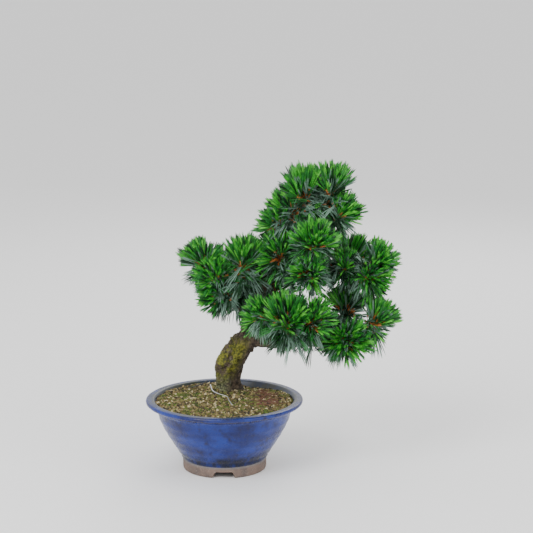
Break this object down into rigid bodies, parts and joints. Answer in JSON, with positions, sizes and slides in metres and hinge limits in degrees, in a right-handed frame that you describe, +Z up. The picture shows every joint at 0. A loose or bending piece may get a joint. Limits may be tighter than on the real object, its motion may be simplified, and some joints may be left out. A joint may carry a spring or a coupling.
{
  "type": "potted japanese white pine bonsai",
  "caption": "Small leaning pine tree with thick mossy trunk and fans of short green needles, growing in a round blue glazed pot on a notched foot.",
  "frame": {"origin": "on the surface that the pot stands on, under the middle of the plant's box", "axes": "+Z up the tree, +X to the right of its front, +Y away from its front"},
  "size_m": [0.4058, 0.2647, 0.4969],
  "materials": {
    "needles": "satin",
    "bark": "matte",
    "blue_glaze": "gloss",
    "soil_grains": "matte",
    "tie_wire": "satin"
  },
  "bodies": {
    "root": {"bough_back_high": "bark", "bough_back_low": "bark", "bough_centre": "bark", "bough_centre_low": "bark", "bough_front": "bark", "bough_front_left": "bark", "bough_front_right": "bark", "bough_left": "bark", "bough_left_back": "bark", "bough_left_riser": "bark", "bough_low_right": "bark", "bough_low_right_back": "bark", "bough_low_right_front": "bark", "bough_right": "bark", "bough_right_back": "bark", "bough_shoulder": "bark", "bough_top_back": "bark", "bough_top_right": "bark", "bough_top_side": "bark", "foliage_back_high": "needles", "foliage_back_low": "needles", "foliage_centre": "needles", "foliage_centre_low": "needles", "foliage_front": "needles", "foliage_front_left": "needles", "foliage_front_right": "needles", "foliage_front_under": "needles", "foliage_left_back": "needles", "foliage_left_far": "needles", "foliage_left_low": "needles", "foliage_left_mid": "needles", "foliage_left_top": "needles", "foliage_low_right": "needles", "foliage_low_right_back": "needles", "foliage_low_right_front": "needles", "foliage_right": "needles", "foliage_right_back": "needles", "foliage_right_inner": "needles", "foliage_right_low": "needles", "foliage_shoulder": "needles", "foliage_top": "needles", "foliage_top_back": "needles", "foliage_top_left": "needles", "foliage_top_right": "needles", "foliage_top_side": "needles", "foliage_waist": "needles", "pot": "blue_glaze", "pruned_stub": "bark", "soil": "soil_grains", "tie_wire": "tie_wire", "trunk": "bark", "twisted_tie": "tie_wire"}
  },
  "joints": []
}
